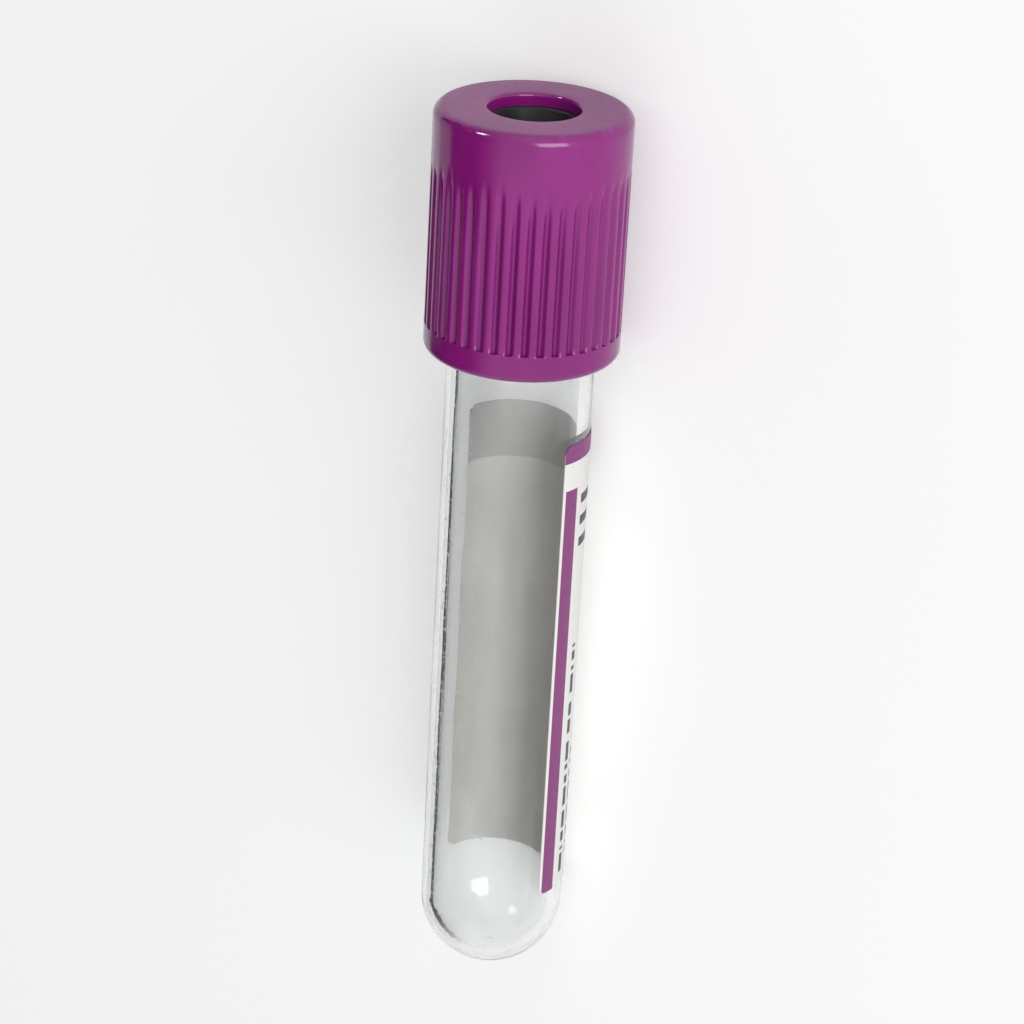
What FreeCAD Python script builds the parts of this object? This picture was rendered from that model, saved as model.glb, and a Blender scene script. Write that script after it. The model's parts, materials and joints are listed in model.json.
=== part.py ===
"""Blood collection tube: a clear round-bottomed tube, its paper label, and a push-on closure of two pieces.

Every piece is drawn upright in its own frame, on the tube's axis: Z = 0 is the lowest point of the round
end, +Z runs up to the closure and -Y is the front, which the label leaves bare. The Placement then lays the
whole tube on its side along +Y, front up, resting on the round end and on the closure's lower rim.
Lengths are in millimetres and angles in degrees.
"""

import FreeCAD, Part

import math
import os

import Sketcher

SIZES = {
    # tube
    "tube_length": 75.0,
    "tube_diameter": 13.0,
    "tube_wall": 1.1,
    "rim_rounding": 0.35,
    # closure shell
    "shield_height": 22.0,
    "shield_rise": 7.5,  # from the tube's rim up to the closure's top face
    "roof_thickness": 1.1,
    "skirt_gap": 0.8,  # between the skirt and the tube
    "skirt_wall": 1.3,
    "chamber_wall": 1.4,
    "bead_gap": 0.35,  # between the snap bead and the tube
    "bead_height": 0.9,
    "port_diameter": 8.0,
    "port_rounding": 0.3,
    "top_rounding": 0.9,
    "skirt_rounding": 0.85,
    "mouth_chamfer": 0.15,
    # ribbed grip, between a smooth top band and a smooth skirt band
    "top_band": 4.8,
    "skirt_band": 2.5,
    "rib_count": 40,
    "groove_width": 0.6,
    "groove_depth": 0.4,
    # stopper
    "flange_gap": 0.05,  # between the stopper's flange and the shell round it
    "well_ledge": 0.4,  # rubber that shows between the port and the well
    "well_slope": 0.8,
    "well_depth": 3.2,
    "septum": 4.5,  # rubber between the well and the hollow
    "plug_length": 8.5,
    "plug_gap": 0.04,  # between the plug and the tube's bore
    "plug_chamfer": 0.7,
    "plug_wall": 1.9,
    "hollow_slope": 1.2,
    # label
    "label_bottom": 9.0,
    "label_drop": 7.0,  # from the closure's lower rim down to the label
    "label_thickness": 0.08,
    "label_corner": 0.8,
    "glue_line": 0.01,
    "label_wrap": 190.0,
}
SHEET = "Sizes"
NUDGE = 0.2  # how far a cut starts outside the surface that it enters
PARTS_FOLDER = "parts"


class Size:
    """A length that knows both its value and the sheet expression that gives it."""

    def __init__(self, text, value):
        self.text = text
        self.value = value

    def __add__(self, other):
        other = as_size(other)
        return Size(f"({self.text} + {other.text})", self.value + other.value)

    def __sub__(self, other):
        other = as_size(other)
        return Size(f"({self.text} - {other.text})", self.value - other.value)

    def __truediv__(self, number):
        return Size(f"({self.text} / {number})", self.value / number)


def as_size(number):
    """A plain number as a Size."""
    return number if isinstance(number, Size) else Size(repr(number), number)


def size(alias):
    """The sheet's cell of that alias as a Size."""
    return Size(f"{SHEET}.{alias}", SIZES[alias])


def write_sheet(doc):
    """Puts every size in a named cell of the sheet."""
    sheet = doc.addObject("Spreadsheet::Sheet", SHEET)
    for row, (alias, value) in enumerate(SIZES.items(), start=1):
        sheet.set(f"A{row}", alias)
        sheet.set(f"B{row}", str(value))
        sheet.setAlias(f"B{row}", alias)
    doc.recompute()


def origin_feature(body, role):
    """The body's own plane or axis of that role."""
    return next(feature for feature in body.Origin.OriginFeatures if feature.Role == role)


def vector(point):
    """A sketch point, from a pair of Sizes."""
    return FreeCAD.Vector(point[0].value, point[1].value, 0)


def add_arc(sketch, start, end, centre, clockwise):
    """Adds an arc and returns its number and the vertex numbers of its start and end."""
    middle = vector(centre)
    from_point, to_point = (end, start) if clockwise else (start, end)
    first = vector(from_point) - middle
    last = vector(to_point) - middle
    circle = Part.Circle(middle, FreeCAD.Vector(0, 0, 1), first.Length)
    angles = [math.atan2(arm.y, arm.x) for arm in (first, last)]
    if angles[1] < angles[0]:
        angles[1] += 2 * math.pi
    number = sketch.addGeometry(Part.ArcOfCircle(circle, *angles), False)
    return (number, 2, 1) if clockwise else (number, 1, 2)


def bind(sketch, constraint, expression):
    """Adds a constraint whose value the sheet gives."""
    number = sketch.addConstraint(constraint)
    sketch.setExpression(f"Constraints[{number}]", expression)


def pin_vertex(sketch, number, vertex, point):
    """Ties a vertex to its place across and up from the sketch's origin."""
    for kind, axis, place in (("DistanceX", -2, point[0]), ("DistanceY", -1, point[1])):
        if place.value == 0:
            sketch.addConstraint(Sketcher.Constraint("PointOnObject", number, vertex, axis))
        else:
            bind(sketch, Sketcher.Constraint(kind, -1, 1, number, vertex, place.value), place.text)


def draw_outline(body, name, outline):
    """Draws a closed outline in the body's XZ plane.

    Each entry is (point, way on): the way to the next point is None for a straight line, or
    (centre, radius, clockwise) for an arc.
    """
    sketch = body.newObject("Sketcher::SketchObject", name)
    sketch.AttachmentSupport = (origin_feature(body, "XZ_Plane"), [""])
    sketch.MapMode = "FlatFace"
    ends = []
    for (point, way), (following, _) in zip(outline, outline[1:] + outline[:1]):
        if way is None:
            line = Part.LineSegment(vector(point), vector(following))
            ends.append((sketch.addGeometry(line, False), 1, 2))
        else:
            ends.append(add_arc(sketch, point, following, way[0], way[2]))
    for (number, start, _), (before, _, end) in zip(ends, ends[-1:] + ends[:-1]):
        sketch.addConstraint(Sketcher.Constraint("Coincident", before, end, number, start))
    for (number, start, _), (point, way) in zip(ends, outline):
        pin_vertex(sketch, number, start, point)
        if way is not None:
            bind(sketch, Sketcher.Constraint("Radius", number, way[1].value), way[1].text)
    return sketch


def revolve(body, sketch, turn="360"):
    """Turns an outline about the tube's axis."""
    feature = body.newObject("PartDesign::Revolution", f"{sketch.Name}_turned")
    feature.Profile = sketch
    feature.ReferenceAxis = (sketch, ["V_Axis"])
    feature.setExpression("Angle", turn)
    return feature


def new_body(doc, label):
    """An empty body whose label names its file."""
    body = doc.addObject("PartDesign::Body", label)
    body.Label = label
    return body


def make_tube(doc):
    """Clear tube of even wall with a round end and a rounded rim."""
    body = new_body(doc, "tube")
    zero = as_size(0)
    outer = size("tube_diameter") / 2
    inner = outer - size("tube_wall")
    wall = size("tube_wall")
    top = size("tube_length")
    edge = size("rim_rounding")
    shoulder = top - edge
    outline = [
        ((zero, zero), ((zero, outer), outer, False)),
        ((outer, outer), None),
        ((outer, shoulder), ((outer - edge, shoulder), edge, False)),
        ((outer - edge, top), None),
        ((inner + edge, top), ((inner + edge, shoulder), edge, False)),
        ((inner, shoulder), None),
        ((inner, outer), ((zero, outer), inner, True)),
        ((zero, wall), None),
    ]
    revolve(body, draw_outline(body, "tube_outline", outline))
    return body


def make_label(doc):
    """Paper label round the back of the tube, with rounded corners."""
    body = new_body(doc, "label")
    inner = size("tube_diameter") / 2 + size("glue_line")
    outer = inner + size("label_thickness")
    bottom = size("label_bottom")
    top = size("tube_length") + size("shield_rise") - size("shield_height") - size("label_drop")
    outline = [((inner, bottom), None), ((outer, bottom), None), ((outer, top), None), ((inner, top), None)]
    sheet_of_paper = revolve(body, draw_outline(body, "label_section", outline), size("label_wrap").text)
    doc.recompute()
    corners = [
        f"Edge{number}"
        for number, edge in enumerate(sheet_of_paper.Shape.Edges, start=1)
        if abs(edge.Length - SIZES["label_thickness"]) < SIZES["label_thickness"] / 10
    ]
    rounding = body.newObject("PartDesign::Fillet", "label_corners")
    rounding.Base = (sheet_of_paper, corners)
    rounding.setExpression("Radius", size("label_corner").text)
    return body


def make_shield(doc):
    """Closure shell: a roof with a port, a chamber for the stopper, a snap bead under it and a skirt."""
    body = new_body(doc, "shield")
    tube = size("tube_diameter") / 2
    bead = tube + size("bead_gap")
    skirt = tube + size("skirt_gap")
    outer = skirt + size("skirt_wall")
    chamber = outer - size("chamber_wall")
    port = size("port_diameter") / 2
    rim = size("tube_length")
    top = rim + size("shield_rise")
    bottom = top - size("shield_height")
    ceiling = top - size("roof_thickness")
    bead_foot = rim - size("bead_height")
    port_edge = size("port_rounding")
    top_edge = size("top_rounding")
    skirt_edge = size("skirt_rounding")
    mouth = size("mouth_chamfer")
    outline = [
        ((port, ceiling), None),
        ((chamber, ceiling), None),
        ((chamber, rim), None),
        ((bead, rim), None),
        ((bead, bead_foot), None),
        ((skirt, bead_foot - (skirt - bead)), None),
        ((skirt, bottom + mouth), None),
        ((skirt + mouth, bottom), None),
        ((outer - skirt_edge, bottom), ((outer - skirt_edge, bottom + skirt_edge), skirt_edge, False)),
        ((outer, bottom + skirt_edge), None),
        ((outer, top - top_edge), ((outer - top_edge, top - top_edge), top_edge, False)),
        ((outer - top_edge, top), None),
        ((port + port_edge, top), ((port + port_edge, top - port_edge), port_edge, False)),
        ((port, top - port_edge), None),
    ]
    revolve(body, draw_outline(body, "shield_outline", outline))
    doc.recompute()
    cut_grip(doc, body, outer, top - size("top_band"), bottom + size("skirt_band"))
    return body


def cut_grip(doc, body, outer, grip_top, grip_foot):
    """Grooves between the ribs: they run out at the top and end in a ledge above the skirt band."""
    smooth = body.Shape.Volume
    outside = outer + NUDGE
    outline = [
        ((outer, grip_top), None),
        ((outer - size("groove_depth"), grip_foot), None),
        ((outside, grip_foot), None),
        ((outside, grip_top), None),
    ]
    sketch = draw_outline(body, "groove_outline", outline)
    groove = body.newObject("PartDesign::Pocket", "groove")
    groove.Profile = sketch
    groove.SideType = "Symmetric"
    groove.setExpression("Length", size("groove_width").text)
    doc.recompute()
    grooves = body.newObject("PartDesign::PolarPattern", "grooves")
    grooves.Originals = [groove]
    grooves.Axis = (sketch, ["V_Axis"])
    grooves.Angle = 360
    grooves.setExpression("Occurrences", size("rib_count").text)
    body.Tip = grooves
    doc.recompute()
    if body.Shape.Volume >= smooth:
        raise RuntimeError("the grooves cut nothing")


def make_stopper(doc):
    """Rubber stopper: a flange with a well on top, and a hollow plug that closes the tube."""
    body = new_body(doc, "stopper")
    tube = size("tube_diameter") / 2
    plug = tube - size("tube_wall") - size("plug_gap")
    chamber = tube + size("skirt_gap") + size("skirt_wall") - size("chamber_wall")
    flange = chamber - size("flange_gap")
    rim = size("tube_length")
    top = rim + size("shield_rise") - size("roof_thickness")
    foot = rim - size("plug_length")
    chamfer = size("plug_chamfer")
    well = size("port_diameter") / 2 - size("well_ledge")
    floor = top - size("well_depth")
    hollow = plug - size("plug_wall")
    hollow_top = floor - size("septum")
    zero = as_size(0)
    outline = [
        ((zero, floor), None),
        ((zero, hollow_top), None),
        ((hollow - size("hollow_slope"), hollow_top), None),
        ((hollow, foot), None),
        ((plug - chamfer, foot), None),
        ((plug, foot + chamfer), None),
        ((plug, rim), None),
        ((flange, rim), None),
        ((flange, top), None),
        ((well, top), None),
        ((well - size("well_slope"), floor), None),
    ]
    revolve(body, draw_outline(body, "stopper_outline", outline))
    return body


def lying_placement():
    """Lays the upright frame along +Y, front up, with the round end and the closure's lower rim at Z = 0.

    The round end touches as a ball of the tube's radius, and the rim as a ring with a rounded edge.
    """
    ball = SIZES["tube_diameter"] / 2
    closure = ball + SIZES["skirt_gap"] + SIZES["skirt_wall"]
    closure_top = SIZES["tube_length"] + SIZES["shield_rise"]
    skirt_edge = SIZES["skirt_rounding"]
    along = closure_top - SIZES["shield_height"] + skirt_edge - ball
    across = closure - skirt_edge
    tilt = math.atan2(across, along) - math.asin((ball - skirt_edge) / math.hypot(along, across))
    top_edge = SIZES["top_rounding"]
    top_ring = closure - top_edge
    reach = (closure_top - top_edge - ball) * math.cos(tilt) + top_ring * math.sin(tilt) + top_edge
    ball_y = (ball - reach) / 2
    turn = FreeCAD.Rotation(FreeCAD.Vector(1, 0, 0), math.degrees(tilt) - 90)
    move = FreeCAD.Vector(0, ball_y, ball) - turn.multVec(FreeCAD.Vector(0, 0, ball))
    return FreeCAD.Placement(move, turn)


def label_turn():
    """Turns the label, whose first edge is drawn at +X, to centre it on the back of the tube."""
    angle = 90 - SIZES["label_wrap"] / 2
    return FreeCAD.Placement(FreeCAD.Vector(), FreeCAD.Rotation(FreeCAD.Vector(0, 0, 1), angle))


def check(doc, bodies):
    """Stops if any object failed or any piece isn't one valid solid."""
    for item in doc.Objects:
        if "Invalid" in item.State or "Error" in item.State:
            raise RuntimeError(f"{item.Label} failed: {item.State}")
    for body in bodies:
        if body.Shape.isNull() or not body.Shape.isValid() or len(body.Shape.Solids) != 1:
            raise RuntimeError(f"{body.Label} isn't one valid solid")


def main():
    doc = FreeCAD.newDocument("blood_collection_tube")
    write_sheet(doc)
    bodies = [make_tube(doc), make_label(doc), make_shield(doc), make_stopper(doc)]
    lying = lying_placement()
    for body in bodies:
        body.Placement = lying * label_turn() if body.Label == "label" else lying
    doc.recompute()
    check(doc, bodies)
    os.makedirs(PARTS_FOLDER, exist_ok=True)
    for body in bodies:
        body.Shape.exportStep(f"{PARTS_FOLDER}/{body.Label}.step")
        box = body.Shape.BoundBox
        print(f"{body.Label}: {body.Shape.Volume:.1f} mm3, {box}")


main()
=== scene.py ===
"""Looks of a blood collection tube: clear tube, paper label, ribbed purple closure and rubber stopper.

Each piece is drawn upright on the tube's own axis: height 0 is the lowest point of the round end, and a
turn of 0 degrees is the front, which the label leaves bare, with +90 towards the label's striped edge.
lying() gives the matrix that then takes the mesh to where the frame has the lying tube. Lengths are in
millimetres until then.
"""

import json
import math

import bpy
from mathutils import Matrix, Vector


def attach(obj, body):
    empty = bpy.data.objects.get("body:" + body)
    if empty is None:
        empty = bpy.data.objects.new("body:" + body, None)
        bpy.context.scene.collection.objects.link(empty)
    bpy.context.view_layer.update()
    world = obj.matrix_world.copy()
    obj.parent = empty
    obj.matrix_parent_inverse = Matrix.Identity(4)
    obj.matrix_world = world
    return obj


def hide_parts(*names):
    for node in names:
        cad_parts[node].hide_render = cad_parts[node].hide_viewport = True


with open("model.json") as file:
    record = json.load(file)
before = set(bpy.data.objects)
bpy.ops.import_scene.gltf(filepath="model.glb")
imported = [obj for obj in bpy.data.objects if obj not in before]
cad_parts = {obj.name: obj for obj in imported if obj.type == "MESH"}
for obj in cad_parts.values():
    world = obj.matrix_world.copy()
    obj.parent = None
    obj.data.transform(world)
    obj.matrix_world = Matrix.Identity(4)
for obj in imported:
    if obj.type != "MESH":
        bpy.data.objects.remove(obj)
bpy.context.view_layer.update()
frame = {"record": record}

MM = 0.001
MOUNTS = {mount["name"]: mount for mount in frame["record"]["mounts"]}
FOOT = Vector(MOUNTS["rack_seat"]["pos_m"])
UP = -Vector(MOUNTS["rack_seat"]["axis"]).normalized()
RIGHT = Vector((1, 0, 0))

# tube
TUBE_RADIUS = MOUNTS["rack_seat"]["dims"]["r_mm"]
TUBE_LENGTH = 75.0
TUBE_WALL = 1.1
TUBE_BORE = TUBE_RADIUS - TUBE_WALL
RIM_ROUNDING = 0.35
GATE_RADIUS = 0.55
GATE_DEPTH = 0.12
FILM_TOP = 62.0  # height at which the dried additive on the inner wall begins
FILM_FULL = 50.0  # height from which it is as dense as it gets
# closure shell
CLOSURE_RADIUS = MOUNTS["holder_fit"]["dims"]["r_mm"]
CLOSURE_TOP = (Vector(MOUNTS["closure_top"]["pos_m"]) - FOOT).dot(UP) / MM
CLOSURE_BOTTOM = TUBE_RADIUS + MOUNTS["rack_seat"]["dims"]["length_mm"]
PORT_RADIUS = MOUNTS["needle_port"]["dims"]["r_mm"]
PORT_ROUNDING = 0.3
ROOF = 1.1
CEILING = CLOSURE_TOP - ROOF
TOP_ROUNDING = 0.9
SKIRT_ROUNDING = 0.85
SKIRT_WALL = 1.3
SKIRT_BORE = CLOSURE_RADIUS - SKIRT_WALL
MOUTH_CHAMFER = 0.15
CHAMBER_WALL = 1.4
CHAMBER_RADIUS = CLOSURE_RADIUS - CHAMBER_WALL
BEAD_RADIUS = TUBE_RADIUS + 0.35
BEAD_HEIGHT = 0.9
# ribbed grip
RIB_COUNT = 40
RIB_PITCH = 360 / RIB_COUNT
GRIP_TOP = CLOSURE_TOP - 4.8
GRIP_FOOT = CLOSURE_BOTTOM + 2.5
GROOVE_WIDTH = 0.6
HALF_GROOVE = math.degrees(GROOVE_WIDTH / 2 / CLOSURE_RADIUS)  # in degrees of turn
GROOVE_DEPTH = 0.4
GROOVE_EDGE = 1.5  # where the groove's walls begin, in half widths from its middle
GROOVE_FLAT = 0.1  # where they end at its bottom, likewise
GROOVE_STEP = 0.05  # height over which the grooves end above the skirt band
CROWN_SHARE = 0.14  # of the depth that lies in the crowned crests, the rest being in the grooves
RUN_OUT_POWER = 7  # how late the grooves start to fade towards the top band
# stopper
FLANGE_RADIUS = CHAMBER_RADIUS - 0.05
WELL_RADIUS = 3.6
WELL_SLOPE = 0.8
WELL_DEPTH = 3.2
WELL_FILLET = 0.45
SEPTUM = 4.5
PLUG_LENGTH = 8.5
PLUG_RADIUS = TUBE_BORE - 0.04
PLUG_WALL = 1.9
PLUG_CHAMFER = 0.7
EASE_ACROSS = 0.08  # these two soften the chamfer's upper edge
EASE_DOWN = 0.12
HOLLOW_SLOPE = 1.2
LIP_INSET = 0.15
LIP_HEIGHT = 0.4
LIP_FLARE = 0.1
RUBBER_ROUNDING = 0.25
RUBBER_CREASE = 0.02  # the tiny fillet where the plug meets the flange
# label
LABEL_WRAP = 190.0
LABEL_START = 180 - LABEL_WRAP / 2
LABEL_BOTTOM = 9.0
LABEL_GAP = 7.0
LABEL_TOP = CLOSURE_BOTTOM - LABEL_GAP
LABEL_HEIGHT = LABEL_TOP - LABEL_BOTTOM
GLUE = 0.01
PAPER = 0.08
LABEL_OUTSIDE = TUBE_RADIUS + GLUE + PAPER
LABEL_INSIDE = TUBE_RADIUS - GLUE  # just inside the tube's surface, as glue leaves no air between them
LABEL_WIDTH = math.radians(LABEL_WRAP) * LABEL_OUTSIDE
LABEL_CORNER = 0.8
# the label's print: left, right, top and bottom, from the striped edge and from the top edge
STRIPE = (0.3, 1.9, 4.3, LABEL_HEIGHT)
EDGE_BAR = (0.0, 5.2, 0.0, 1.7)
HEADER = (8.5, LABEL_WIDTH, 0.0, 5.4)
TEXT_BARS = ((2.7, 6.4, 5.2, 6.1), (2.7, 7.2, 7.3, 8.2), (2.7, 5.6, 9.4, 10.3))
TEXT_COLUMNS = (
    (2.9, 3.6, 20.0, LABEL_HEIGHT - 1.0),
    (4.4, 4.9, 31.0, LABEL_HEIGHT - 2.5),
    (5.7, 6.2, 31.0, LABEL_HEIGHT - 5.0),
)
DASHES = ((3.7, 3.1), (2.3, 1.9))  # step and length of two rows whose overlap is printed
RULED_FIELD = (8.5, LABEL_WIDTH - 1.5, 10.0, LABEL_HEIGHT - 4.0)
RULED_STEP = 5.0
RULED_HALF_WIDTH = 0.07
# light
BRIGHT_SIDE = 0.782
DARK_SIDE = 0.238
DARK_SIDE_SEEN = 0.04
DARK_TURN = -60
GLINT_TURN = -30
GLINT_SLOPE = 0.95  # the height it gains for each 1 outwards from the axis
GLINT_STRENGTH = 40
GLINT_CORE = 4  # in degrees from the glint's middle
GLINT_EDGE = 6
FLOOR_LIFT = 0.31
FLOOR_HALF = 3.0  # in metres
# camera, placed by its turn, height and reach from the axis, and tilted by its lean in degrees
CAMERA_TURN = 43
CAMERA_HEIGHT = 171
CAMERA_REACH = 290
CAMERA_AIM = 45
CAMERA_LENS = 125
CAMERA_LEAN = 3.2


# ---------------------------------------------------------------- meshes


def lying():
    """The matrix that takes the upright frame, in millimetres, to the frame's own metres."""
    back = UP.cross(RIGHT)
    turn = Matrix((RIGHT, back, UP)).transposed().to_4x4()
    return Matrix.Translation(FOOT) @ turn @ Matrix.Scale(MM, 4)


def place(turn, radius, height):
    """A point of the upright frame."""
    angle = math.radians(turn)
    return Vector((radius * math.sin(angle), -radius * math.cos(angle), height))


def arc(radius, height, size, start, end, steps=8):
    """Outline points on an arc round (radius, height), from one angle to the other, both in degrees."""
    angles = [math.radians(start + (end - start) * step / steps) for step in range(steps + 1)]
    return [(radius + size * math.cos(angle), height + size * math.sin(angle)) for angle in angles]


def line(start, end, steps):
    """Outline points between two points, with neither end."""
    shares = [step / steps for step in range(1, steps)]
    return [tuple(a + (b - a) * share for a, b in zip(start, end)) for share in shares]


def make_piece(name, points, faces, sharp):
    """An object whose mesh lies where the frame has it, smooth but for edges sharper than the angle given."""
    mesh = bpy.data.meshes.new(name)
    mesh.from_pydata([tuple(point) for point in points], [], faces)
    mesh.transform(lying())
    mesh.validate()
    mesh.shade_smooth()
    mesh.set_sharp_from_angle(angle=math.radians(sharp))
    piece = bpy.data.objects.new(name, mesh)
    bpy.context.scene.collection.objects.link(piece)
    return piece


def turned(name, outline, turns, closed, dent=None, sharp=40):
    """A piece turned about the axis from an outline of (radius, height) points.

    An outline that isn't closed begins and ends on the axis. dent(turn, height) is how far the surface lies
    inside the outline there, for outline points on the closure's outside.
    """
    points, rings = [], []
    for radius, height in outline:
        if radius < 1e-6:
            rings.append([len(points)] * len(turns))
            points.append(Vector((0, 0, height)))
            continue
        rings.append([len(points) + number for number in range(len(turns))])
        outside = dent is not None and abs(radius - CLOSURE_RADIUS) < 1e-6
        depths = [dent(turn, height) if outside else 0 for turn in turns]
        points += [place(turn, radius - depth, height) for turn, depth in zip(turns, depths)]
    faces = []
    following = rings[1:] + rings[:1] if closed else rings[1:]
    for low, high in zip(rings, following):
        for number in range(len(turns)):
            after = (number + 1) % len(turns)
            corners = [low[number], low[after], high[after], high[number]]
            faces.append(list(dict.fromkeys(corners)))
    return make_piece(name, points, faces, sharp)


def even_turns(count):
    """That many turns, evenly spaced."""
    return [360 * number / count for number in range(count)]


def make_tube():
    """Clear tube with a round end, a rounded rim and the small dimple of the mould's gate."""
    shoulder = TUBE_LENGTH - RIM_ROUNDING
    dimple_radius = 1.4 * GATE_RADIUS
    gate_edge = math.degrees(math.asin(dimple_radius / TUBE_RADIUS)) - 90
    outline = [(0, GATE_DEPTH), (GATE_RADIUS, GATE_DEPTH)]
    outline += arc(0, TUBE_RADIUS, TUBE_RADIUS, gate_edge, 0, 28)
    outline += line((TUBE_RADIUS, TUBE_RADIUS), (TUBE_RADIUS, shoulder), 12)
    outline += arc(TUBE_RADIUS - RIM_ROUNDING, shoulder, RIM_ROUNDING, 0, 90, 6)
    outline += arc(TUBE_BORE + RIM_ROUNDING, shoulder, RIM_ROUNDING, 90, 180, 6)
    outline += line((TUBE_BORE, shoulder), (TUBE_BORE, TUBE_RADIUS), 12)
    outline += arc(0, TUBE_RADIUS, TUBE_BORE, 0, -89, 28)
    outline += [(0, TUBE_WALL)]
    return turned("clear_tube", outline, even_turns(192), closed=False, sharp=60)


def groove_turns():
    """Turns that put enough points across each groove and few along each rib's crest."""
    offsets = [share * HALF_GROOVE for share in (0, 0.25, 0.5, 0.75, 1.0, 1.25, 1.5, 1.85)]
    one_groove = sorted({-offset for offset in offsets} | set(offsets) | {RIB_PITCH / 2})
    return [180 + RIB_PITCH * number + offset for number in range(RIB_COUNT) for offset in one_groove]


def groove_dent(turn, height):
    """Depth of the grooves: steep above the skirt band, running out softly below the top band."""
    if not GRIP_FOOT < height < GRIP_TOP:
        return 0.0
    from_middle = abs((turn - 180 + RIB_PITCH / 2) % RIB_PITCH - RIB_PITCH / 2)
    wall = min(max((GROOVE_EDGE - from_middle / HALF_GROOVE) / (GROOVE_EDGE - GROOVE_FLAT), 0), 1)
    crown = max(1 - from_middle / (RIB_PITCH / 2), 0)
    rise = (GRIP_TOP - height) / (GRIP_TOP - GRIP_FOOT)
    run_out = 1 - (1 - rise) ** RUN_OUT_POWER
    soft_wall = wall * wall * (3 - 2 * wall)
    return run_out * GROOVE_DEPTH * ((1 - CROWN_SHARE) * soft_wall + CROWN_SHARE * crown)


def make_shield():
    """Closure shell: rounded top with its port, ribbed grip, smooth bands, skirt, snap bead and chamber."""
    skirt_top = CLOSURE_BOTTOM + SKIRT_ROUNDING
    top = CLOSURE_TOP - TOP_ROUNDING
    port_edge = PORT_RADIUS + PORT_ROUNDING
    bead_foot = TUBE_LENGTH - BEAD_HEIGHT
    bead_slope = SKIRT_BORE - BEAD_RADIUS
    steps_in = (GRIP_FOOT - GROOVE_STEP, GRIP_FOOT, GRIP_FOOT + GROOVE_STEP)
    outline = arc(CLOSURE_RADIUS - SKIRT_ROUNDING, skirt_top, SKIRT_ROUNDING, -90, 0, 10)
    outline += [(CLOSURE_RADIUS, (skirt_top + GRIP_FOOT) / 2)]
    outline += [(CLOSURE_RADIUS, height) for height in steps_in]
    outline += line(outline[-1], (CLOSURE_RADIUS, GRIP_TOP), 24)
    outline += [(CLOSURE_RADIUS, GRIP_TOP)]
    outline += line((CLOSURE_RADIUS, GRIP_TOP), (CLOSURE_RADIUS, top), 4)
    outline += arc(CLOSURE_RADIUS - TOP_ROUNDING, top, TOP_ROUNDING, 0, 90, 10)
    outline += line((CLOSURE_RADIUS - TOP_ROUNDING, CLOSURE_TOP), (port_edge, CLOSURE_TOP), 4)
    outline += arc(port_edge, CLOSURE_TOP - PORT_ROUNDING, PORT_ROUNDING, 90, 180, 6)
    outline += [(PORT_RADIUS, CEILING), (CHAMBER_RADIUS, CEILING), (CHAMBER_RADIUS, TUBE_LENGTH)]
    outline += [(BEAD_RADIUS, TUBE_LENGTH), (BEAD_RADIUS, bead_foot)]
    outline += [(SKIRT_BORE, bead_foot - bead_slope), (SKIRT_BORE, CLOSURE_BOTTOM + MOUTH_CHAMFER)]
    outline += [(SKIRT_BORE + MOUTH_CHAMFER, CLOSURE_BOTTOM)]
    return turned("closure_shell", outline, groove_turns(), closed=True, dent=groove_dent)


def make_stopper():
    """Rubber stopper: flange with a sloping well on top, and a hollow plug below."""
    floor = CEILING - WELL_DEPTH
    septum_foot = floor - SEPTUM
    foot = TUBE_LENGTH - PLUG_LENGTH
    hollow = PLUG_RADIUS - PLUG_WALL
    chamfer_top = foot + PLUG_CHAMFER
    soft = RUBBER_ROUNDING
    well_floor = WELL_RADIUS - WELL_SLOPE
    outline = [(0, septum_foot), (hollow - HOLLOW_SLOPE, septum_foot)]
    outline += [(hollow - LIP_INSET, foot + LIP_HEIGHT), (hollow + LIP_FLARE, foot)]
    outline += [(PLUG_RADIUS - PLUG_CHAMFER, foot)]
    outline += [(PLUG_RADIUS - EASE_ACROSS, chamfer_top - EASE_DOWN), (PLUG_RADIUS, chamfer_top)]
    outline += line(outline[-1], (PLUG_RADIUS, TUBE_LENGTH - soft), 6)
    outline += [(PLUG_RADIUS, TUBE_LENGTH - RUBBER_CREASE), (PLUG_RADIUS + RUBBER_CREASE, TUBE_LENGTH)]
    outline += arc(FLANGE_RADIUS - soft, TUBE_LENGTH + soft, soft, -90, 0, 5)
    outline += arc(FLANGE_RADIUS - soft, CEILING - soft, soft, 0, 90, 5)
    outline += arc(WELL_RADIUS + soft, CEILING - soft, soft, 90, 165, 6)
    outline += arc(well_floor - WELL_FILLET, floor + WELL_FILLET, WELL_FILLET, -12, -90, 6)
    outline += line(outline[-1], (0, floor), 4)
    outline += [(0, floor)]
    return turned("rubber_stopper", outline, even_turns(144), closed=False, sharp=50)


def label_columns():
    """Distances from the striped edge round the label, close together over its rounded corners."""
    corner = [LABEL_CORNER * (1 - math.cos(math.radians(angle))) for angle in range(0, 90, 10)]
    steps = 90
    flat = LABEL_WIDTH - 2 * LABEL_CORNER
    middle = [LABEL_CORNER + flat * step / steps for step in range(steps + 1)]
    return corner + middle + [LABEL_WIDTH - reach for reach in reversed(corner)]


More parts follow.
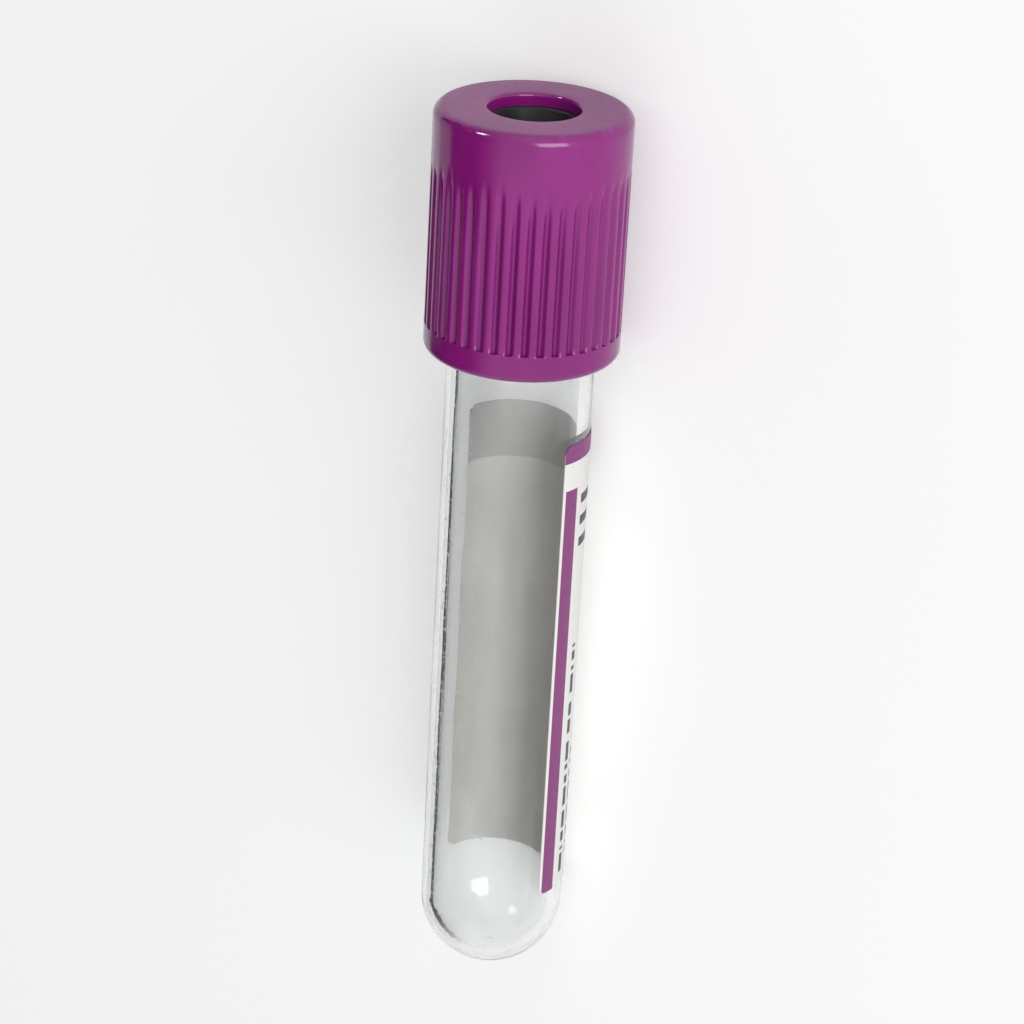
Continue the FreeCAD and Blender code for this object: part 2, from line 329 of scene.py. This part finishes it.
def make_label():
    """Paper label with rounded corners, curved round the tube. Its face is material 0 and its back is 1."""
    columns = label_columns()
    rows = 24
    points = []
    for radius in (LABEL_OUTSIDE, LABEL_INSIDE):
        for reach in columns:
            nearest = min(reach, LABEL_WIDTH - reach, LABEL_CORNER)
            drop = LABEL_CORNER - math.sqrt(LABEL_CORNER**2 - (LABEL_CORNER - nearest) ** 2)
            low, high = LABEL_BOTTOM + drop, LABEL_TOP - drop
            turn = LABEL_START + LABEL_WRAP * reach / LABEL_WIDTH
            points += [place(turn, radius, low + (high - low) * row / rows) for row in range(rows + 1)]
    across, side = len(columns), len(columns) * (rows + 1)

    def number(column, row, inside):
        return column * (rows + 1) + row + inside * side

    faces = []
    for column in range(across - 1):
        for row in range(rows):
            corners = [(column, row), (column + 1, row), (column + 1, row + 1), (column, row + 1)]
            faces.append([number(*corner, 0) for corner in corners])
            faces.append([number(*corner, 1) for corner in reversed(corners)])
    edge = [(column, 0) for column in range(across)]
    edge += [(across - 1, row) for row in range(1, rows + 1)]
    edge += [(column, rows) for column in range(across - 2, -1, -1)]
    edge += [(0, row) for row in range(rows - 1, 0, -1)]
    for here, there in zip(edge, edge[1:] + edge[:1]):
        faces.append([number(*there, 0), number(*here, 0), number(*here, 1), number(*there, 1)])
    label = make_piece("paper_label", points, faces, 40)
    for face in label.data.polygons:
        face.material_index = int(all(corner >= side for corner in face.vertices))
    return label


# ---------------------------------------------------------------- materials


class Look:
    """A material or world whose nodes are added one by one, each linked to what its inputs are given."""

    def __init__(self, owner):
        self.owner = owner
        self.owner.use_nodes = True
        self.tree = self.owner.node_tree
        self.tree.nodes.clear()

    def add(self, kind, sockets=(), **settings):
        """Adds a node, with a value or another node's output for each input named."""
        node = self.tree.nodes.new(f"ShaderNode{kind}")
        for name, value in settings.items():
            setattr(node, name, value)
        for key, value in dict(sockets).items():
            if isinstance(value, bpy.types.NodeSocket):
                self.tree.links.new(value, node.inputs[key])
            else:
                node.inputs[key].default_value = value
        return node

    def math(self, operation, *values):
        """The result of a sum on numbers or sockets."""
        return self.add("Math", dict(enumerate(values)), operation=operation).outputs[0]

    def total(self, operation, first, *others):
        """One operation on any number of values, one after the other."""
        for other in others:
            first = self.math(operation, first, other)
        return first

    def ramp(self, value, low, high, start=0.0, end=1.0):
        """Goes smoothly from start to end as the value goes from low to high."""
        sockets = {"Value": value, "From Min": low, "From Max": high, "To Min": start, "To Max": end}
        return self.add("MapRange", sockets, interpolation_type="SMOOTHSTEP").outputs[0]

    def mix(self, share, first, second):
        """Two colours mixed."""
        sockets = {0: share, 6: first, 7: second}
        return self.add("Mix", sockets, data_type="RGBA").outputs[2]

    def upright(self):
        """The surface point in the upright frame's millimetres, which goes with the piece."""
        at = self.add("TexCoord").outputs["Object"]
        turn = lying().to_3x3().normalized().to_euler()
        sockets = {"Vector": at, "Location": FOOT, "Rotation": turn, "Scale": (MM, MM, MM)}
        return self.add("Mapping", sockets, vector_type="TEXTURE").outputs[0]

    def around(self, at):
        """The distance from the axis and the height of an upright point."""
        parts = self.add("SeparateXYZ", {0: at}).outputs
        squares = [self.math("POWER", parts[number], 2.0) for number in (0, 1)]
        return self.math("SQRT", self.math("ADD", *squares)), parts[2]

    def noise(self, at, scale, stretch=(1, 1, 1), detail=3.0):
        """Soft noise from 0 to 1, with about scale spots a millimetre."""
        drawn = self.add("VectorMath", {0: at, 1: stretch}, operation="MULTIPLY").outputs[0]
        sockets = {"Vector": drawn, "Scale": scale, "Detail": detail}
        return self.add("TexNoise", sockets).outputs[0]

    def bump(self, height, distance, strength=1.0, after=None):
        """A surface normal tilted by a height that goes from 0 to 1 over that many millimetres."""
        sockets = {"Height": height, "Distance": distance * MM, "Strength": strength}
        if after is not None:
            sockets["Normal"] = after
        return self.add("Bump", sockets).outputs[0]

    def surface(self, **sockets):
        """The material with a principled shader, given its inputs with _ for each space in their names."""
        named = {name.replace("_", " "): value for name, value in sockets.items()}
        return self.finish(self.add("BsdfPrincipled", named).outputs[0])

    def finish(self, shader, kind="OutputMaterial"):
        """Sends a shader to the output and gives the material or world."""
        self.add(kind, {"Surface": shader})
        return self.owner


def clear_plastic():
    """Clear moulded plastic with faint draw lines, and the dried additive as specks on its inner wall."""
    look = Look(bpy.data.materials.new("clear_plastic_look"))
    at = look.upright()
    radius, height = look.around(at)
    inside = look.ramp(radius, TUBE_BORE + 0.2, TUBE_BORE + 0.1)
    draw_lines = look.noise(at, 0.9, (1, 1, 0.03), 2.0)
    waves = look.noise(at, 0.25, (1, 1, 0.4), 1.0)
    specks = look.ramp(look.noise(at, 2.6, detail=4.0), 0.56, 0.68)
    lower_wall = look.ramp(height, FILM_TOP, FILM_FULL)
    film = look.total("MULTIPLY", specks, inside, lower_wall)
    scuffs = look.ramp(look.noise(at, 0.6, detail=6.0), 0.62, 0.8, 0.0, 0.12)
    roughness = look.total("ADD", scuffs, look.math("MULTIPLY", film, 0.18), 0.015)
    normal = look.bump(draw_lines, 0.05, 0.25)
    normal = look.bump(waves, 0.12, 0.2, normal)
    normal = look.bump(film, 0.006, 0.4, normal)
    tint = look.mix(look.noise(at, 0.08), (0.90, 0.915, 0.915, 1), (0.925, 0.93, 0.925, 1))
    sockets = {"Base Color": tint, "Roughness": roughness, "Normal": normal}
    sockets |= {"IOR": 1.57, "Transmission Weight": 1.0}
    plastic = look.add("BsdfPrincipled", sockets).outputs[0]
    see_through = look.add("BsdfTransparent", {"Color": (0.93, 0.94, 0.94, 1)}).outputs[0]
    in_shadow = look.add("LightPath").outputs["Is Shadow Ray"]
    return look.finish(look.add("MixShader", {0: in_shadow, 1: plastic, 2: see_through}).outputs[0])


def grooves(look, radius, height):
    """1 at the bottom of the closure's grooves and 0 on its crests and off the grip."""
    groove_floor = CLOSURE_RADIUS - GROOVE_DEPTH
    depth = look.ramp(radius, groove_floor, CLOSURE_RADIUS - 0.08, 1.0, 0.0)
    on_outside = look.math("GREATER_THAN", radius, groove_floor - 0.1)
    below_band = look.math("LESS_THAN", height, GRIP_TOP)
    above_skirt = look.math("GREATER_THAN", height, GRIP_FOOT)
    return look.total("MULTIPLY", depth, on_outside, below_band, above_skirt)


def purple_plastic():
    """Satin purple moulding: slight mottling, fine grain, a softly worn top edge and painted shade in the
    grooves.
    """
    look = Look(bpy.data.materials.new("purple_plastic_look"))
    at = look.upright()
    radius, height = look.around(at)
    flow = look.ramp(look.noise(at, 0.18, (1, 1, 0.4), 2.0), 0.3, 0.7)
    colour = look.mix(flow, (0.190, 0.004, 0.143, 1), (0.240, 0.009, 0.180, 1))
    groove = grooves(look, radius, height)
    # painted shade: the colour darkens towards the grooves' bottoms, standing in for the shade that falls in
    # them
    colour = look.mix(look.math("MULTIPLY", groove, 0.35), colour, (0.09, 0.001, 0.07, 1))
    rub = look.ramp(look.noise(at, 0.8, detail=6.0), 0.52, 0.72)
    near_top = look.ramp(height, CLOSURE_TOP - 0.8, CLOSURE_TOP - 0.1)
    near_side = look.ramp(radius, CLOSURE_RADIUS - 1.2, CLOSURE_RADIUS - 0.4)
    worn = look.total("MULTIPLY", rub, near_top, near_side, 0.2)
    colour = look.mix(worn, colour, (0.36, 0.07, 0.29, 1))
    roughness = look.math("ADD", look.ramp(rub, 0.0, 1.0, 0.0, 0.06), 0.14)
    roughness = look.math("ADD", roughness, look.math("MULTIPLY", groove, 0.4))
    top_face = look.ramp(height, CLOSURE_TOP - 0.12, CLOSURE_TOP - 0.01, 0.0, 0.2)
    roughness = look.math("ADD", roughness, top_face)
    peel = look.noise(at, 1.1, detail=2.0)
    grain = look.noise(at, 7.0, detail=2.0)
    normal = look.bump(peel, 0.02, 0.35)
    normal = look.bump(grain, 0.004, 0.35, normal)
    return look.surface(Base_Color=colour, Roughness=roughness, IOR=1.5, Normal=normal)


def stopper_rubber():
    """Matt dark rubber with a fine grain and a faint bloom."""
    look = Look(bpy.data.materials.new("stopper_rubber_look"))
    at = look.upright()
    bloom = look.ramp(look.noise(at, 0.5, detail=5.0), 0.4, 0.75)
    colour = look.mix(bloom, (0.009, 0.008, 0.010, 1), (0.024, 0.022, 0.026, 1))
    specks = look.ramp(look.noise(at, 5.0, detail=2.0), 0.66, 0.74, 0.0, 0.3)
    colour = look.mix(specks, colour, (0.06, 0.06, 0.06, 1))
    roughness = look.ramp(bloom, 0.0, 1.0, 0.5, 0.72)
    normal = look.bump(look.noise(at, 6.0, detail=3.0), 0.012, 0.5)
    return look.surface(Base_Color=colour, Roughness=roughness, Specular_IOR_Level=0.3, Normal=normal)


def label_places(look):
    """The distance round the tube from the label's striped edge, the drop from its top, and the point."""
    at = look.upright()
    parts = look.add("SeparateXYZ", {0: at}).outputs
    from_back = look.math("ARCTAN2", parts[0], parts[1])
    before_edge = look.math("SUBTRACT", math.radians(LABEL_WRAP / 2), from_back)
    reach = look.math("MULTIPLY", before_edge, LABEL_OUTSIDE)
    return reach, look.math("SUBTRACT", LABEL_TOP, parts[2]), at


def field(look, reach, drop, left, right, top, bottom):
    """1 inside an upright rectangle of the label and 0 outside it."""
    across = look.math("COMPARE", reach, (left + right) / 2, (right - left) / 2)
    down = look.math("COMPARE", drop, (top + bottom) / 2, (bottom - top) / 2)
    return look.math("MULTIPLY", across, down)


def paper_bump(look, at):
    """The fine unevenness of coated paper."""
    return look.bump(look.noise(at, 9.0, detail=4.0), 0.006, 0.5)


def printed_paper():
    """White coated paper with a purple edge stripe and header, plain dark bars and ruled lines."""
    look = Look(bpy.data.materials.new("printed_paper_look"))
    reach, drop, at = label_places(look)
    fibres = look.noise(at, 1.8, detail=5.0)
    colour = look.mix(fibres, (0.67, 0.675, 0.65, 1), (0.75, 0.755, 0.73, 1))
    purple = (0.205, 0.035, 0.16, 1)
    ink = (0.045, 0.04, 0.055, 1)
    fields = [field(look, reach, drop, *edges) for edges in (STRIPE, EDGE_BAR, HEADER)]
    colour = look.mix(look.total("MAXIMUM", *fields), colour, purple)
    for bar in TEXT_BARS:
        colour = look.mix(field(look, reach, drop, *bar), colour, ink)
    rows = [look.math("LESS_THAN", look.math("MODULO", drop, step), length) for step, length in DASHES]
    dashes = look.total("MULTIPLY", *rows)
    for column in TEXT_COLUMNS:
        printed = look.math("MULTIPLY", field(look, reach, drop, *column), dashes)
        colour = look.mix(printed, colour, ink)
    step = look.math("MODULO", drop, RULED_STEP)
    on_line = look.math("COMPARE", step, RULED_STEP / 2, RULED_HALF_WIDTH)
    ruled = look.math("MULTIPLY", on_line, field(look, reach, drop, *RULED_FIELD))
    colour = look.mix(ruled, colour, ink)
    roughness = look.ramp(fibres, 0.3, 0.7, 0.42, 0.55)
    return look.surface(Base_Color=colour, Roughness=roughness, Normal=paper_bump(look, at))


def paper_back():
    """Glued back of the paper, greyer than its face as painted shade, and a little darker where the header
    and stripe are printed on its face.
    """
    look = Look(bpy.data.materials.new("paper_back_look"))
    reach, drop, at = label_places(look)
    glue = look.ramp(look.noise(at, 0.35, (1, 1, 0.5), 4.0), 0.3, 0.7)
    # painted shade: both greys are darker than the paper's face, standing in for the shade inside the tube;
    # the glue mottles between them
    colour = look.mix(glue, (0.60, 0.575, 0.55, 1), (0.67, 0.645, 0.615, 1))
    header = look.math("MULTIPLY", field(look, reach, drop, *HEADER), 0.8)
    stripe = look.math("MULTIPLY", field(look, reach, drop, *STRIPE), 0.5)
    colour = look.mix(header, colour, (0.40, 0.38, 0.38, 1))
    colour = look.mix(stripe, colour, (0.42, 0.33, 0.39, 1))
    return look.surface(Base_Color=colour, Roughness=0.6, Normal=paper_bump(look, at))


# ---------------------------------------------------------------- stage


def seen_directly(look):
    """1 for what the camera sees, also in a gloss or through clear plastic, and 0 for light on surfaces."""
    path = look.add("LightPath").outputs
    rays = [path[f"Is {kind} Ray"] for kind in ("Camera", "Glossy", "Transmission")]
    seen = look.math("MINIMUM", look.total("ADD", *rays), 1.0)
    return look.math("MULTIPLY", seen, look.math("LESS_THAN", path["Diffuse Depth"], 0.5))


def make_floor():
    """Plain pale floor, lifted to white where it is seen, with the tube's shadow kept."""
    mesh = bpy.data.meshes.new("floor")
    signs = ((-1, -1), (1, -1), (1, 1), (-1, 1))
    corners = [(x * FLOOR_HALF, y * FLOOR_HALF, 0) for x, y in signs]
    mesh.from_pydata(corners, [], [(0, 1, 2, 3)])
    floor = bpy.data.objects.new("floor", mesh)
    bpy.context.scene.collection.objects.link(floor)
    look = Look(bpy.data.materials.new("floor_look"))
    at = look.add("TexCoord").outputs["Object"]
    mottle = look.add("TexNoise", {"Vector": at, "Scale": 12.0, "Detail": 2.0}).outputs[0]
    colour = look.mix(mottle, (0.80, 0.80, 0.80, 1), (0.84, 0.84, 0.84, 1))
    matt = look.add("BsdfDiffuse", {"Color": colour}).outputs[0]
    lift = look.math("MULTIPLY", seen_directly(look), FLOOR_LIFT)
    glow = look.add("Emission", {"Strength": lift}).outputs[0]
    floor.data.materials.append(look.finish(look.add("AddShader", {0: matt, 1: glow}).outputs[0]))


def make_world():
    """White background and soft light, darker from one side so that edges show, and a small glint."""
    look = Look(bpy.data.worlds.new("studio"))
    direction = look.add("TexCoord").outputs["Generated"]

    def along(turn, radius, height):
        """How far a direction agrees with one of the upright frame, from -1 to 1."""
        towards = (lying().to_3x3() @ place(turn, radius, height)).normalized()
        sockets = {0: direction, 1: towards}
        return look.add("VectorMath", sockets, operation="DOT_PRODUCT").outputs["Value"]

    facing = along(DARK_TURN, 1, 0)
    in_light = look.ramp(facing, 0.0, 0.8, BRIGHT_SIDE, DARK_SIDE)
    in_sight = look.ramp(facing, 0.15, 0.8, 1.0, DARK_SIDE_SEEN)
    seen = seen_directly(look)
    strength = look.math("MULTIPLY", in_sight, seen)
    unseen = look.math("SUBTRACT", 1.0, seen)
    strength = look.math("ADD", strength, look.math("MULTIPLY", in_light, unseen))
    path = look.add("LightPath").outputs
    strength = look.math("MAXIMUM", strength, path["Is Camera Ray"])
    edge, core = (math.cos(math.radians(angle)) for angle in (GLINT_EDGE, GLINT_CORE))
    glint = look.ramp(along(GLINT_TURN, 1, GLINT_SLOPE), edge, core, 0.0, GLINT_STRENGTH)
    first_gloss = look.math("LESS_THAN", path["Glossy Depth"], 1.5)
    in_gloss = look.total("MULTIPLY", path["Is Glossy Ray"], first_gloss, seen)
    strength = look.math("ADD", strength, look.math("MULTIPLY", glint, in_gloss))
    sky = look.add("Background", {"Color": (1, 1, 1, 1), "Strength": strength}).outputs[0]
    bpy.context.scene.world = look.finish(sky, "OutputWorld")


def make_lamp(name, turn, height, reach, wide, watts):
    """A square lamp aimed at the tube's middle, placed in the upright frame."""
    middle = lying() @ Vector((0, 0, TUBE_LENGTH / 2))
    at = lying() @ place(turn, reach, height)
    data = bpy.data.lights.new(name, "AREA")
    data.shape = "SQUARE"
    data.size = wide * MM
    data.energy = watts
    lamp = bpy.data.objects.new(name, data)
    lamp.location = at
    lamp.rotation_mode = "QUATERNION"
    lamp.rotation_quaternion = (middle - at).to_track_quat("-Z", "Y")
    bpy.context.scene.collection.objects.link(lamp)


def make_camera():
    """Camera that looks down on the tube from its closure's side, as at a standing tube in a rack."""
    at = lying() @ place(CAMERA_TURN, CAMERA_REACH, CAMERA_HEIGHT)
    aim = lying() @ Vector((0, 0, CAMERA_AIM))
    ahead = (aim - at).normalized()
    side = ahead.cross(UP).normalized()
    over = side.cross(ahead)
    aimed = Matrix((side, over, -ahead)).transposed().to_4x4()
    lean = Matrix.Rotation(math.radians(CAMERA_LEAN), 4, "Z")
    data = bpy.data.cameras.new("camera")
    data.lens = CAMERA_LENS
    data.clip_start = 0.01
    data.clip_end = 20
    camera = bpy.data.objects.new("camera", data)
    camera.matrix_world = Matrix.Translation(at) @ aimed @ lean
    bpy.context.scene.collection.objects.link(camera)
    bpy.context.scene.camera = camera


def dress(piece, body, node, slot, *materials):
    """Gives a piece its materials and its place in the frame."""
    for material in materials:
        piece.data.materials.append(material)
    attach(piece, body)
    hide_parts(node)


dress(make_tube(), "tube", "tube", "clear_plastic", clear_plastic())
dress(make_label(), "tube", "label", "label_paper", printed_paper(), paper_back())
dress(make_shield(), "closure", "shield", "purple_plastic", purple_plastic())
dress(make_stopper(), "closure", "stopper", "stopper_rubber", stopper_rubber())

make_floor()
make_world()
make_lamp("key", turn=66, height=235, reach=700, wide=430, watts=3.2)
make_lamp("fill", turn=-80, height=40, reach=500, wide=320, watts=0.2)
make_camera()
bpy.context.scene.view_settings.view_transform = "Standard"
